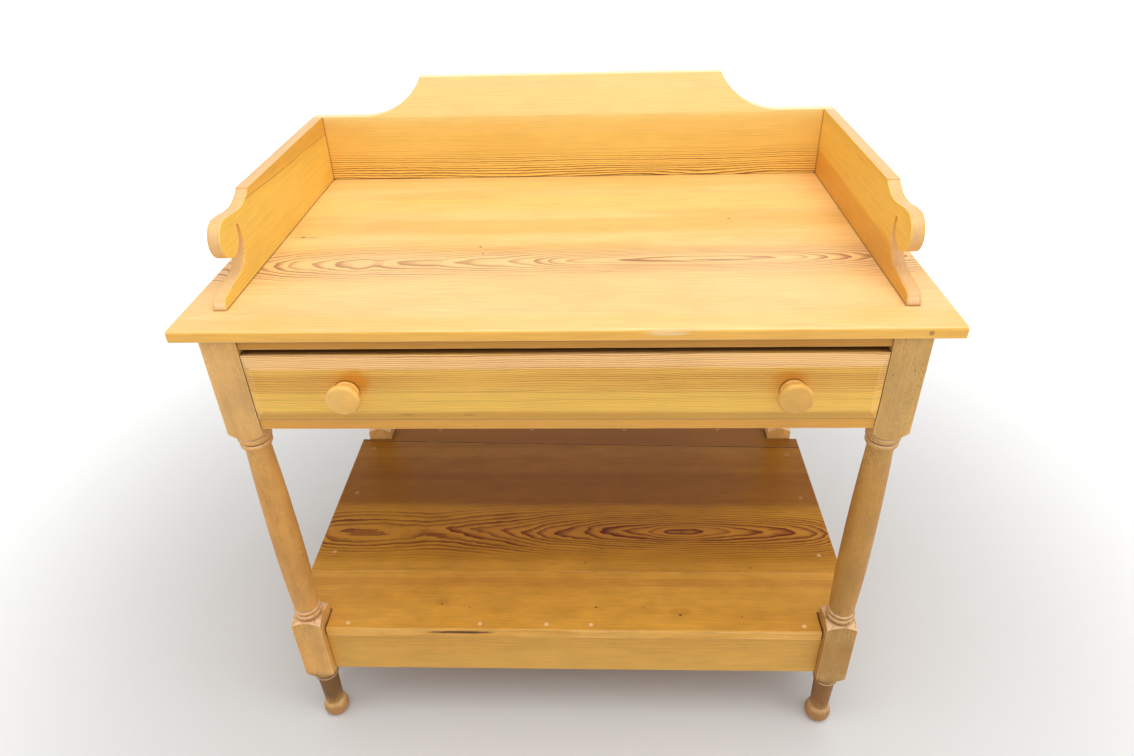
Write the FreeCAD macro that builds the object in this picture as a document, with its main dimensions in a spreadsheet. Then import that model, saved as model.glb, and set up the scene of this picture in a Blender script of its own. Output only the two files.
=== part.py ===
import FreeCAD, Part
import Sketcher
import math
import os

# Pine washstand: table top with a three-sided gallery, one long drawer, four turned legs
# and a pot shelf.  Millimetres, +Z up, +X to the right, -Y to the front.  The origin lies
# on the floor under the middle of the whole outline.

SIZES = (
    # top
    ("top_length", 914.0, "top, end to end"),
    ("top_depth", 524.0, "top, front edge to back edge"),
    ("top_thick", 15.0, "top boards"),
    ("top_strip", 67.0, "narrow board glued along the back of the top"),
    ("top_round", 4.0, "rounding of the top's front edge"),
    # legs
    ("leg_block", 44.0, "square stock of the legs"),
    ("leg_length", 740.0, "floor to the underside of the top"),
    ("leg_side_inset", 34.0, "end of the top to the outer face of a leg"),
    ("leg_front_inset", 3.0, "front edge of the top to the front legs"),
    ("leg_back_inset", 0.5, "back edge of the top to the back legs"),
    ("neck_shoulder", 10.0, "sloping shoulder below the upper square"),
    ("base_shoulder", 7.0, "sloping shoulder above the lower square"),
    ("foot_shoulder", 8.0, "sloping shoulder below the lower square"),
    ("block_hang", 7.5, "upper square of a leg below the drawer rail"),
    ("low_hang", 2.0, "lower square of a leg below the shelf rails"),
    ("block_rise", 17.0, "square of a leg above the shelf"),
    ("quirk", 1.5, "flat groove between turned members"),
    ("neck_bead", 10.0, "height of the large bead below the upper square"),
    ("neck_ring", 8.0, "height of the small bead below it"),
    ("neck_core", 16.8, "groove radius at the upper beads"),
    ("base_bead", 9.0, "height of the large bead above the lower square"),
    ("base_ring", 8.0, "height of the small bead above it"),
    ("base_core", 15.5, "groove radius at the lower beads"),
    ("column_top", 16.3, "column radius at its upper end"),
    ("column_full", 20.4, "column radius where it is fullest"),
    ("column_base", 18.0, "column radius at its lower end"),
    ("column_rise", 105.0, "lower end of the column to its fullest place"),
    ("ankle_bead", 5.0, "height of the bead above the foot's neck"),
    ("ankle_core", 16.0, "groove radius at that bead"),
    ("ankle_top", 17.5, "radius above that bead"),
    ("ankle_cove", 13.5, "height from that bead to the square's shoulder"),
    ("foot_neck", 14.4, "thinnest radius above the ball foot"),
    ("foot_ball", 20.0, "radius of the ball foot"),
    ("foot_ball_mid", 14.0, "height of its fullest place"),
    ("foot_ball_top", 28.5, "height of the ball foot"),
    ("foot_flat", 12.0, "radius of the flat that stands on the floor"),
    # aprons, drawer rails and what carries the drawer
    ("apron_thick", 20.0, "side and back aprons"),
    ("apron_inset", 3.0, "outer face of a leg to the apron"),
    ("rail_inset", 2.0, "front face of a leg to the drawer rails"),
    ("rail_wide", 45.0, "drawer rails, front to back"),
    ("upper_thick", 12.0, "upper drawer rail and kickers"),
    ("lower_thick", 14.0, "lower drawer rail and runners"),
    ("opening_high", 103.0, "clear height of the drawer opening"),
    ("tenon_thick", 9.0, "all tenons"),
    ("rail_tenon", 24.0, "tenons along the front and back, length"),
    ("side_tenon", 14.0, "tenons of the side pieces, length"),
    ("haunch", 15.0, "tenon of an apron, below the top of the leg"),
    ("twin_gap", 9.0, "between the twin tenons of the lower rail"),
    ("dovetail_long", 18.0, "dovetail of the upper rail, length"),
    ("dovetail_neck", 20.0, "its width at the rail"),
    ("dovetail_end", 30.0, "its width at the end"),
    ("runner_wide", 40.0, "runners and kickers, side to side"),
    ("guide_high", 18.0, "guides beside the drawer"),
    ("stop_long", 32.0, "drawer stops, along the rail"),
    ("stop_wide", 14.0, "drawer stops, front to back"),
    ("stop_high", 6.0, "drawer stops"),
    ("stop_in", 179.0, "leg to the middle of a drawer stop"),
    ("glue_block", 20.0, "glue blocks, square section"),
    ("glue_block_long", 60.0, "glue blocks"),
    ("glue_block_in", 169.0, "leg to the middle of the nearest glue block"),
    # drawer
    ("run_gap", 0.3, "running clearance under the drawer and at its stops"),
    ("drawer_gap", 0.8, "drawer to the legs and guides, each side"),
    ("drawer_gap_top", 7.5, "drawer front to the upper rail"),
    ("drawer_gap_low", 1.5, "drawer front to the lower rail"),
    ("front_proud", 5.5, "field of the drawer front in front of the legs"),
    ("front_thick", 22.0, "drawer front at its field"),
    ("bevel_deep", 6.0, "bevel round the field, depth"),
    ("bevel_edge", 16.5, "bevel along the top and bottom, width"),
    ("bevel_end", 11.0, "bevel at the ends, width"),
    ("drawer_behind", 20.5, "back of the drawer to the back apron"),
    ("side_thick", 11.0, "drawer sides"),
    ("back_thick", 11.0, "drawer back"),
    ("back_drop", 10.0, "drawer back below the top of the sides"),
    ("bottom_thick", 8.0, "drawer bottom"),
    ("bottom_up", 9.5, "drawer bottom above the lower edge of the sides"),
    ("groove_deep", 5.0, "groove for the drawer bottom"),
    ("tail_long", 9.0, "dovetails into the drawer front, length"),
    ("tail_end", 24.0, "width of a tail at its end"),
    ("tail_neck", 18.0, "width of a tail at its root"),
    ("pin_wide", 14.0, "pins of the drawer back, wide side"),
    ("pin_narrow", 9.0, "their narrow side"),
    # knobs
    ("knob_in_left", 121.5, "left end of the drawer front to the middle of its knob"),
    ("knob_in_right", 106.5, "right end of the drawer front to the middle of its knob"),
    ("knob_radius", 20.5, "knob"),
    ("knob_reach", 24.5, "knob in front of the field"),
    ("knob_neck", 9.0, "radius of the knob's stem"),
    ("knob_stem", 8.0, "length of the stem"),
    ("knob_cove", 6.0, "middle of the stem's hollow outside that radius"),
    ("knob_dome", 6.0, "height of the domed face"),
    ("spigot_radius", 6.0, "spigot of a knob through the drawer front"),
    # pot shelf
    ("shelf_up", 218.0, "floor to the upper face of the shelf"),
    ("shelf_thick", 15.0, "shelf boards"),
    ("shelf_over", 13.0, "shelf beyond the outer faces of the legs"),
    ("shelf_nose", 2.0, "shelf in front of its rail"),
    ("shelf_front", 117.0, "width of the front shelf board"),
    ("strip_left", 50.0, "back shelf board at its left end"),
    ("strip_right", 73.0, "back shelf board at its right end"),
    ("strip_crack", 1.6, "open joint in front of the back shelf board"),
    ("notch_gap", 2.5, "shelf to the inner faces of the legs"),
    ("notch_deep_gap", 5.0, "shelf to the legs, front to back"),
    ("shelf_rail_deep", 79.0, "shelf rails, top to bottom"),
    ("shelf_rail_thick", 20.0, "shelf rails"),
    ("shelf_rail_set", 12.0, "front face of a leg to the front shelf rail"),
    ("shelf_side_set", 5.0, "outer face of a leg to the other shelf rails"),
    ("shelf_tenon_step", 7.0, "shoulder above and below their tenons"),
    # gallery
    ("gallery_inset", 37.0, "end of the top to the gallery side"),
    ("gallery_thick", 16.0, "gallery boards"),
    ("gallery_high", 105.0, "gallery sides and the ends of the back"),
    ("gallery_toe", 50.5, "front edge of the top to the toe of a side"),
    ("crest_high", 165.0, "raised middle of the gallery back"),
    ("crest_long", 474.0, "its straight top edge"),
    ("ramp_long", 97.0, "hollow ramp beside it, along the back"),
    ("scroll_radius", 24.5, "scroll at the front of a side"),
    ("scroll_back", 55.5, "toe to the middle of the scroll"),
    ("scroll_up", 70.5, "top board to the middle of the scroll"),
    ("shoulder_back", 135.5, "toe to the shoulder"),
    ("shoulder_step", 1.5, "upright step of the shoulder"),
    ("valley_back", 99.5, "toe to the lowest place of the hollow"),
    ("valley_up", 91.0, "top board to the lowest place of the hollow"),
    ("hollow_turn", 83.5, "toe to where the hollow turns into the scroll"),
    ("slot_wide", 6.5, "slot behind the scroll, upper end"),
    ("slot_up", 75.0, "top board to the upper end of the slot"),
    ("slot_flare", 3.0, "how much the slot's rear edge leans back"),
    ("throat_up", 56.5, "top board to the throat of the hook"),
    ("tongue_root", 21.2, "thickness of the tongue below the throat"),
    ("tongue_blend", 5.0, "where the throat runs into the tongue"),
    ("toe_long", 13.5, "rounded toe, along the side"),
    ("toe_up", 3.0, "upright front of the toe"),
    # fastenings
    ("screw_radius", 2.0, "screws, shank"),
    ("screw_head", 4.0, "screws, head"),
    ("screw_head_deep", 3.0, "screws, countersunk head"),
    ("screw_bite", 10.0, "screws that hold the top, length in the top"),
    ("gallery_bite", 22.0, "screws of the gallery, length in the gallery"),
    ("nail_radius", 1.4, "nails, shank"),
    ("nail_head", 3.2, "nails, head"),
    ("nail_head_deep", 1.5, "nails, head"),
    ("nail_bite", 24.0, "nails, length in the piece behind"),
    ("small_nail_bite", 14.0, "nails of the drawer bottom, length in the back"),
)

# Places of fastenings along their run, as fractions of it.
FRONT_NAILS = (-0.91, -0.37, -0.10, 0.08, 0.93)
BACK_NAILS = (-0.75, -0.25, 0.25, 0.75)
GALLERY_BACK_SCREWS = (-0.8, -0.4, 0.0, 0.4, 0.8)
GALLERY_SIDE_SCREWS = (0.2, 0.5, 0.85)
KICKER_SCREWS = (0.15, 0.5, 0.85)
RAIL_SCREWS = (-0.5, 0.5)
BOTTOM_NAILS = (-0.8, -0.3, 0.3, 0.8)
TAILS = (-1, 0, 1)
PINS = (-0.25, 0.25)

X_AXIS = FreeCAD.Vector(1, 0, 0)
Z_AXIS = FreeCAD.Vector(0, 0, 1)

doc = FreeCAD.newDocument("washstand")
sheet = doc.addObject("Spreadsheet::Sheet", "Sizes")


class Size:
    """A length that is both a number and the sheet expression that gives it."""

    def __init__(self, number, text):
        self.number = float(number)
        self.text = text

    def __add__(self, other):
        other = size(other)
        return Size(self.number + other.number, f"({self.text} + {other.text})")

    def __sub__(self, other):
        other = size(other)
        return Size(self.number - other.number, f"({self.text} - {other.text})")

    def __mul__(self, other):
        other = size(other)
        return Size(self.number * other.number, f"({self.text} * {other.text})")

    def __truediv__(self, other):
        other = size(other)
        return Size(self.number / other.number, f"({self.text} / {other.text})")

    def __neg__(self):
        return Size(-self.number, f"(0 - {self.text})")

    def root(self):
        return Size(math.sqrt(self.number), f"sqrt({self.text})")


def size(value):
    return value if isinstance(value, Size) else Size(value, repr(float(value)))


class Sizes:
    """The sheet's cells by name."""


s = Sizes()
for row, (alias, number, note) in enumerate(SIZES, start=1):
    sheet.set(f"A{row}", alias)
    sheet.set(f"B{row}", str(number))
    sheet.setAlias(f"B{row}", alias)
    sheet.set(f"C{row}", note)
    setattr(s, alias, Size(number, f"Sizes.{alias}"))
doc.recompute()

ZERO = size(0)
parts = []


def bind(obj, **values):
    for prop, value in values.items():
        obj.setExpression(prop.replace("_", "."), size(value).text)


def place(obj, x, y, z, turn=None):
    """Placement bound to the sheet, with an optional fixed rotation (axis, degrees)."""
    if turn:
        obj.Placement = FreeCAD.Placement(FreeCAD.Vector(), FreeCAD.Rotation(*turn))
    bind(obj, Placement_Base_x=x, Placement_Base_y=y, Placement_Base_z=z)
    return obj


def node(obj, name):
    """Make obj the finished sub-part of that name."""
    obj.Label = name
    parts.append(obj)
    return obj


def box(x0, x1, y0, y1, z0, z1, name="Stock"):
    """Rectangular piece between two corners."""
    obj = doc.addObject("Part::Box", name)
    bind(obj, Length=x1 - x0, Width=y1 - y0, Height=z1 - z0)
    return place(obj, x0, y0, z0)


def mirrored_box(side, x0, x1, y0, y1, z0, z1, name="Stock"):
    """The same, on the left (side -1) or the right (side 1); x0 < x1 count outwards."""
    if side < 0:
        x0, x1 = -x1, -x0
    return box(x0, x1, y0, y1, z0, z1, name)


def fuse(pieces, name="Fused"):
    if len(pieces) == 1:
        return pieces[0]
    obj = doc.addObject("Part::MultiFuse", name)
    obj.Shapes = pieces
    return obj


def cut(base, tools, name="Cut"):
    obj = doc.addObject("Part::Cut", name)
    obj.Base = base
    obj.Tool = fuse(tools, "Tools")
    return obj


def group(pieces, name="Group"):
    obj = doc.addObject("Part::Compound", name)
    obj.Links = pieces
    return obj


def wedge(x, y0, y1, near, far, z, name="Wedge"):
    """Prism along X over the pair x, that widens along Y from near to far about height z."""
    obj = doc.addObject("Part::Wedge", name)
    bind(obj, Xmin=x[0], Xmax=x[1], X2min=x[0], X2max=x[1], Ymin=y0, Ymax=y1)
    bind(obj, Zmin=z - near / 2, Zmax=z + near / 2, Z2min=z - far / 2, Z2max=z + far / 2)
    return obj


def origin_plane(body, role):
    return next(f for f in body.Origin.OriginFeatures if f.Role == role)


def new_body(name):
    return doc.addObject("PartDesign::Body", name)


def outline(body, role, loops):
    """Sketch of closed loops on an origin plane of the body.

    A loop is a list of corners (x, y) or (x, y, bend), where bend describes the edge that
    leaves the corner: ("x" or "y", value, way), an arc whose centre has that coordinate
    and which runs anticlockwise (way 1) or clockwise (way -1).
    """
    sketch = body.newObject("Sketcher::SketchObject", "Outline")
    sketch.AttachmentSupport = [(origin_plane(body, role), "")]
    sketch.MapMode = "FlatFace"

    def fix(kind, edge, point, value):
        value = size(value)
        if value.text == ZERO.text:
            sketch.addConstraint(Sketcher.Constraint("PointOnObject", edge, point,
                                                     -2 if kind == "DistanceX" else -1))
            return
        index = sketch.addConstraint(Sketcher.Constraint(kind, -1, 1, edge, point, value.number))
        sketch.setExpression(f"Constraints[{index}]", value.text)

    for loop in loops:
        first = sketch.GeometryCount
        corners = [(size(c[0]), size(c[1]), c[2] if len(c) > 2 else None) for c in loop]
        ends = []
        for i, (x, y, bend) in enumerate(corners):
            nx, ny, _ = corners[(i + 1) % len(corners)]
            here = FreeCAD.Vector(x.number, y.number, 0)
            there = FreeCAD.Vector(nx.number, ny.number, 0)
            if bend is None:
                sketch.addGeometry(Part.LineSegment(here, there), False)
                ends.append((1, 2))
                continue
            centre = arc_centre(here, there, bend)
            radius = (here - centre).Length
            a = math.atan2(here.y - centre.y, here.x - centre.x)
            b = math.atan2(there.y - centre.y, there.x - centre.x)
            if bend[2] < 0:
                a, b = b, a
            circle = Part.Circle(centre, FreeCAD.Vector(0, 0, 1), radius)
            sketch.addGeometry(Part.ArcOfCircle(circle, a, b if b > a else b + 2 * math.pi), False)
            ends.append((1, 2) if bend[2] > 0 else (2, 1))
        for i, (x, y, bend) in enumerate(corners):
            edge, after = first + i, (i + 1) % len(corners)
            sketch.addConstraint(Sketcher.Constraint("Coincident", edge, ends[i][1],
                                                     first + after, ends[after][0]))
            fix("DistanceX", edge, ends[i][0], x)
            fix("DistanceY", edge, ends[i][0], y)
            if bend is not None:
                fix("DistanceX" if bend[0] == "x" else "DistanceY", edge, 3, bend[1])
    return sketch


def arc_centre(a, b, bend):
    """Centre on the line x = value or y = value, equally far from a and b."""
    known = size(bend[1]).number
    if bend[0] == "x":
        rest = (b.x * b.x - a.x * a.x + b.y * b.y - a.y * a.y - 2 * known * (b.x - a.x))
        return FreeCAD.Vector(known, (a.y + b.y) / 2 if b.y == a.y else rest / (2 * (b.y - a.y)), 0)
    rest = (b.x * b.x - a.x * a.x + b.y * b.y - a.y * a.y - 2 * known * (b.y - a.y))
    return FreeCAD.Vector((a.x + b.x) / 2 if b.x == a.x else rest / (2 * (b.x - a.x)), known, 0)


# ---------------------------------------------------------------- reference planes
top_under = s.leg_length
top_face = top_under + s.top_thick
half_top = s.top_length / 2
knob_out = s.knob_reach + s.front_proud - s.leg_front_inset
front = (knob_out - s.top_depth) / 2
back = front + s.top_depth

leg_out = half_top - s.leg_side_inset
leg_in = leg_out - s.leg_block
leg_x = leg_out - s.leg_block / 2
leg_face = front + s.leg_front_inset
leg_rear = leg_face + s.leg_block
back_leg_rear = back - s.leg_back_inset
back_leg_face = back_leg_rear - s.leg_block

opening_top = top_under - s.upper_thick
opening_low = opening_top - s.opening_high
rail_low = opening_low - s.lower_thick
rail_face = leg_face + s.rail_inset
rail_rear = rail_face + s.rail_wide
apron_out = leg_out - s.apron_inset
apron_in = apron_out - s.apron_thick
back_apron_rear = back_leg_rear - s.apron_inset
back_apron_face = back_apron_rear - s.apron_thick

shelf_low = s.shelf_up - s.shelf_thick
shelf_rail_low = shelf_low - s.shelf_rail_deep
shelf_rail_face = leg_face + s.shelf_rail_set
shelf_edge = shelf_rail_face - s.shelf_nose
shelf_half = leg_out + s.shelf_over
shelf_rail_out = leg_out - s.shelf_side_set
shelf_rail_in = shelf_rail_out - s.shelf_rail_thick

# ---------------------------------------------------------------- screws and nails


def screw(x, y, z, long):
    """Countersunk screw driven upwards from its head at z."""
    head = doc.addObject("Part::Cone", "Head")
    bind(head, Radius1=s.screw_head, Radius2=s.screw_radius, Height=s.screw_head_deep)
    place(head, x, y, z)
    shank = doc.addObject("Part::Cylinder", "Shank")
    bind(shank, Radius=s.screw_radius, Height=long - s.screw_head_deep)
    place(shank, x, y, z + s.screw_head_deep)
    return fuse([head, shank], "Screw")


def nail(x, y, z, long, turn):
    """Nail whose head is flush at x, y, z; turn sets its direction from downwards."""
    head = doc.addObject("Part::Cylinder", "Head")
    bind(head, Radius=s.nail_head, Height=s.nail_head_deep)
    shank = doc.addObject("Part::Cylinder", "Shank")
    bind(shank, Radius=s.nail_radius, Height=long)
    both = fuse([place(head, x, y, z, turn), place(shank, x, y, z, turn)], "Nail")
    return both


DOWN = (X_AXIS, 180)
UP = None
FORWARD = (X_AXIS, 90)

side_gallery_x = half_top - s.gallery_inset - s.gallery_thick / 2
gallery_face = back - s.gallery_thick
toe = front + s.gallery_toe
gallery_screw_long = s.top_thick + s.gallery_bite
gallery_side_screws = {side: [screw(side_gallery_x * side, toe + (gallery_face - toe) * part, top_under,
                                    gallery_screw_long) for part in GALLERY_SIDE_SCREWS]
                       for side in (-1, 1)}
gallery_back_screws = [screw(side_gallery_x * part, back - s.gallery_thick / 2, top_under,
                             gallery_screw_long) for part in GALLERY_BACK_SCREWS]
gallery_nails = {side: [nail(side_gallery_x * side, back, top_face + s.gallery_high * part,
                             s.gallery_thick + s.nail_bite, FORWARD) for part in (0.25, 0.75)]
                 for side in (-1, 1)}

kicker_x = apron_in - s.runner_wide / 2
top_screw_long = s.upper_thick + s.screw_bite
kicker_screws = {side: [screw(kicker_x * side, rail_rear + (back_apron_face - rail_rear) * part,
                              opening_top, top_screw_long) for part in KICKER_SCREWS]
                 for side in (-1, 1)}
rail_screws = [screw(leg_in * part, rail_face + s.rail_wide / 2, opening_top, top_screw_long)
               for part in RAIL_SCREWS]

nail_long = s.shelf_thick + s.nail_bite
shelf_nail_y = shelf_rail_face + s.shelf_rail_thick / 2
front_nails = [nail(leg_in * part, shelf_nail_y, s.shelf_up, nail_long, DOWN) for part in FRONT_NAILS]
shelf_back_rear = back_leg_rear - s.shelf_side_set
back_nails = [nail(leg_in * part, shelf_back_rear - s.shelf_rail_thick / 2, s.shelf_up, nail_long, DOWN)
              for part in BACK_NAILS]
shelf_nail_x = shelf_rail_out - s.shelf_rail_thick / 2
board_joint = shelf_edge + s.shelf_front
strip_edge = {-1: back_leg_rear - s.strip_left, 1: back_leg_rear - s.strip_right}
side_nails = {side: [nail(shelf_nail_x * side, board_joint + (strip_edge[side] - board_joint) * part,
                          s.shelf_up, nail_long, DOWN) for part in (0.12, 0.55, 0.93)]
              for side in (-1, 1)}

# ---------------------------------------------------------------- top
strip_joint = back - s.top_strip
top_body = new_body("TopBoard")
rounding = s.top_round
profile = outline(top_body, "YZ_Plane", [[
    (front, top_under + rounding / 2, None),
    (front, top_face - rounding, ("y", top_face - rounding, -1)),
    (front + rounding, top_face),
    (strip_joint, top_face),
    (strip_joint, top_under),
    (front + rounding / 2, top_under, ("x", front + rounding / 2, -1)),
]])
pad = top_body.newObject("PartDesign::Pad", "Board")
pad.Profile = profile
pad.Midplane = True
bind(pad, Length=s.top_length)

top_strip = box(-half_top, half_top, strip_joint, back, top_under, top_face, "TopStrip")
side_screws = gallery_side_screws[-1] + gallery_side_screws[1]
top_screws = kicker_screws[-1] + kicker_screws[1] + rail_screws
node(cut(top_body, [group(side_screws), group(top_screws)]), "top_board_main")
node(cut(top_strip, [group(gallery_back_screws), group(side_screws), group(top_screws)]),
     "top_board_back")

# ---------------------------------------------------------------- gallery
rise = s.crest_high - s.gallery_high
crest_half = s.crest_long / 2
ramp_half = crest_half + s.ramp_long
back_half = half_top - s.gallery_inset
back_body = new_body("GalleryBack")
profile = outline(back_body, "XZ_Plane", [[
    (-back_half, top_face), (back_half, top_face), (back_half, top_face + s.gallery_high),
    (ramp_half, top_face + s.gallery_high, ("x", ramp_half, -1)),
    (crest_half, top_face + s.crest_high),
    (-crest_half, top_face + s.crest_high, ("x", -ramp_half, -1)),
    (-ramp_half, top_face + s.gallery_high), (-back_half, top_face + s.gallery_high),
]])
pad = back_body.newObject("PartDesign::Pad", "Board")
pad.Profile = profile
bind(pad, Length=s.gallery_thick)
place(back_body, ZERO, back, ZERO)
node(cut(back_body, [group(gallery_back_screws), group(gallery_nails[-1] + gallery_nails[1])]),
     "gallery_back")

scroll_y = toe + s.scroll_back
scroll_z = top_face + s.scroll_up
slot_z = top_face + s.slot_up
slot_front = scroll_y + (s.scroll_radius * s.scroll_radius
                         - (s.slot_up - s.scroll_up) * (s.slot_up - s.scroll_up)).root()
slot_rear = slot_front + s.slot_wide
throat_y = slot_rear + s.slot_flare
throat_z = top_face + s.throat_up
throat_radius = s.throat_up - s.tongue_root
throat_drop = (throat_radius * throat_radius - s.tongue_blend * s.tongue_blend).root()
tongue_y = throat_y - throat_radius + s.tongue_blend
tongue_z = throat_z - throat_drop
toe_top_y = toe + s.toe_long
toe_top_z = tongue_z - (tongue_y - toe_top_y) * s.tongue_blend / throat_drop
valley_y = toe + s.valley_back
valley_z = top_face + s.valley_up
turn_y = toe + s.hollow_turn
scroll_top = scroll_z + s.scroll_radius
turn_z = valley_z + (scroll_top - valley_z) * (valley_y - turn_y) / (valley_y - scroll_y)
shoulder_y = toe + s.shoulder_back
gallery_top = top_face + s.gallery_high

for side, word in ((-1, "left"), (1, "right")):
    body = new_body("GallerySide")
    profile = outline(body, "YZ_Plane", [[
        (gallery_face, top_face),
        (gallery_face, gallery_top),
        (shoulder_y, gallery_top),
        (shoulder_y, gallery_top - s.shoulder_step, ("x", valley_y, -1)),
        (valley_y, valley_z, ("x", valley_y, -1)),
        (turn_y, turn_z, ("x", scroll_y, 1)),
        (scroll_y, scroll_top, ("x", scroll_y, 1)),
        (slot_front, slot_z, ("y", slot_z, -1)),
        (slot_rear, slot_z, ("y", throat_z, -1)),
        (throat_y, throat_z, ("y", throat_z, -1)),
        (tongue_y, tongue_z),
        (toe_top_y, toe_top_z, ("x", toe_top_y, 1)),
        (toe, top_face + s.toe_up),
        (toe, top_face),
    ]])
    pad = body.newObject("PartDesign::Pad", "Board")
    pad.Profile = profile
    pad.Midplane = True
    bind(pad, Length=s.gallery_thick)
    place(body, side_gallery_x * side, ZERO, ZERO)
    node(cut(body, [group(gallery_side_screws[side]), group(gallery_nails[side])]),
         f"gallery_side_{word}")

# ---------------------------------------------------------------- legs
corner = s.leg_block * 0.71
shoulder = s.leg_block / 2 + s.quirk / 6
low_square = shelf_rail_low - s.low_hang
low_square_top = s.shelf_up + s.block_rise
high_square = rail_low - s.block_hang


def bead(core, low, high):
    """Half-round bead between two heights on a groove radius."""
    return [(core, low, ("x", core, 1)), (core, high)]


ankle_low = low_square - s.foot_shoulder - s.ankle_cove - s.ankle_bead
ankle_high = ankle_low + s.ankle_bead
foot_turning = [
    (corner, ZERO),
    (s.foot_flat, ZERO, ("y", s.foot_ball_mid, 1)),
    (s.foot_ball, s.foot_ball_mid, ("y", s.foot_ball_mid, 1)),
    (s.foot_neck + s.quirk, s.foot_ball_top),
    (s.foot_neck, s.foot_ball_top + s.quirk * 2),
    *bead(s.ankle_core, ankle_low, ankle_high),
    (s.ankle_top, ankle_high),
    (shoulder, low_square - s.foot_shoulder),
    (corner, low_square),
]
base_low = low_square_top + s.base_shoulder + s.quirk
base_mid = base_low + s.base_bead
base_high = base_mid + s.quirk / 2 + s.base_ring
column_low = base_high + s.quirk
column_fullest = column_low + s.column_rise
neck_high = high_square - s.neck_shoulder - s.quirk
neck_mid = neck_high - s.neck_bead
neck_low = neck_mid - s.quirk / 2 - s.neck_ring
column_high = neck_low - s.quirk
column_turning = [
    (corner, low_square_top),
    (shoulder, low_square_top + s.base_shoulder),
    (s.base_core, low_square_top + s.base_shoulder),
    *bead(s.base_core, base_low, base_mid),
    *bead(s.base_core, base_mid + s.quirk / 2, base_high),
    (s.base_core, column_low),
    (s.column_base, column_low, ("y", column_fullest, 1)),
    (s.column_full, column_fullest, ("y", column_fullest, 1)),
    (s.column_top, column_high),
    (s.neck_core, column_high),
    *bead(s.neck_core, neck_low, neck_low + s.neck_ring),
    *bead(s.neck_core, neck_mid, neck_high),
    (s.neck_core, high_square - s.neck_shoulder),
    (shoulder, high_square - s.neck_shoulder),
    (corner, high_square),
]


def leg(x, y):
    """Square stock with two turned lengths, standing at x, y."""
    body = new_body("Leg")
    half = s.leg_block / 2
    stock = body.newObject("PartDesign::Pad", "Square")
    stock.Profile = outline(body, "XY_Plane", [[(-half, -half), (half, -half), (half, half), (-half, half)]])
    bind(stock, Length=s.leg_length)
    turning = outline(body, "XZ_Plane", [foot_turning, column_turning])
    groove = body.newObject("PartDesign::Groove", "Turning")
    groove.Profile = turning
    groove.ReferenceAxis = (turning, ["V_Axis"])
    groove.Angle = 360
    return place(body, x, y, ZERO)


# ---------------------------------------------------------------- rails, aprons and tenons
mortises = {(side, end): [] for side in (-1, 1) for end in ("front", "back")}


def cross_tenons(end, y0, y1, z0, z1):
    """Tenons at both ends of a piece that runs from leg to leg along X."""
    tenons = []
    for side in (-1, 1):
        tenon = mirrored_box(side, leg_in, leg_in + s.rail_tenon, y0, y1, z0, z1, "Tenon")
        mortises[side, end].append(tenon)
        tenons.append(tenon)
    return tenons


def side_tenons(side, x_mid, z0, z1):
    """Tenons at both ends of a piece that runs from a front leg to a back leg."""
    x0, x1 = x_mid - s.tenon_thick / 2, x_mid + s.tenon_thick / 2
    first = mirrored_box(side, x0, x1, leg_rear - s.side_tenon, leg_rear, z0, z1, "Tenon")
    last = mirrored_box(side, x0, x1, back_leg_face, back_leg_face + s.side_tenon, z0, z1, "Tenon")
    mortises[side, "front"].append(first)
    mortises[side, "back"].append(last)
    return [first, last]


apron_tenon = (rail_low + s.shelf_tenon_step, top_under - s.haunch)
shelf_tenon = (shelf_rail_low + s.shelf_tenon_step, shelf_low - s.shelf_tenon_step)

apron_mid = (back_apron_face + back_apron_rear) / 2
back_apron = [box(-leg_in, leg_in, back_apron_face, back_apron_rear, rail_low, top_under)]
back_apron += cross_tenons("back", apron_mid - s.tenon_thick / 2, apron_mid + s.tenon_thick / 2, *apron_tenon)
node(fuse(back_apron), "apron_back")

front_rail_mid = shelf_rail_face + s.shelf_rail_thick / 2
front_rail = [box(-leg_in, leg_in, shelf_rail_face, shelf_rail_face + s.shelf_rail_thick,
                  shelf_rail_low, shelf_low)]
front_rail += cross_tenons("front", front_rail_mid - s.tenon_thick / 2,
                           front_rail_mid + s.tenon_thick / 2, *shelf_tenon)
node(cut(fuse(front_rail), [group(front_nails)]), "shelf_rail_front")

back_rail_mid = shelf_back_rear - s.shelf_rail_thick / 2
back_rail = [box(-leg_in, leg_in, shelf_back_rear - s.shelf_rail_thick, shelf_back_rear,
                 shelf_rail_low, shelf_low)]
back_rail += cross_tenons("back", back_rail_mid - s.tenon_thick / 2,
                          back_rail_mid + s.tenon_thick / 2, *shelf_tenon)
node(cut(fuse(back_rail), [group(back_nails)]), "shelf_rail_back")

leg_y = leg_face + s.leg_block / 2
lower_rail = [box(-leg_in, leg_in, rail_face, rail_rear, rail_low, opening_low)]
for low in (leg_y - s.twin_gap / 2 - s.tenon_thick, leg_y + s.twin_gap / 2):
    lower_rail += cross_tenons("front", low, low + s.tenon_thick,
                               rail_low + s.lower_thick / 7, opening_low - s.lower_thick / 7)
node(fuse(lower_rail), "drawer_rail_lower")

upper_body = new_body("UpperRail")
neck, end = s.dovetail_neck / 2, s.dovetail_end / 2
tail_x = leg_in + s.dovetail_long
profile = outline(upper_body, "XY_Plane", [[
    (-leg_in, rail_face), (leg_in, rail_face),
    (leg_in, leg_y - neck), (tail_x, leg_y - end), (tail_x, leg_y + end), (leg_in, leg_y + neck),
    (leg_in, rail_rear), (-leg_in, rail_rear),
    (-leg_in, leg_y + neck), (-tail_x, leg_y + end), (-tail_x, leg_y - end), (-leg_in, leg_y - neck),
]])
pad = upper_body.newObject("PartDesign::Pad", "Rail")
pad.Profile = profile
bind(pad, Length=s.upper_thick)
place(upper_body, ZERO, ZERO, opening_top)
node(cut(upper_body, [group(rail_screws)]), "drawer_rail_upper")

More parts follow.
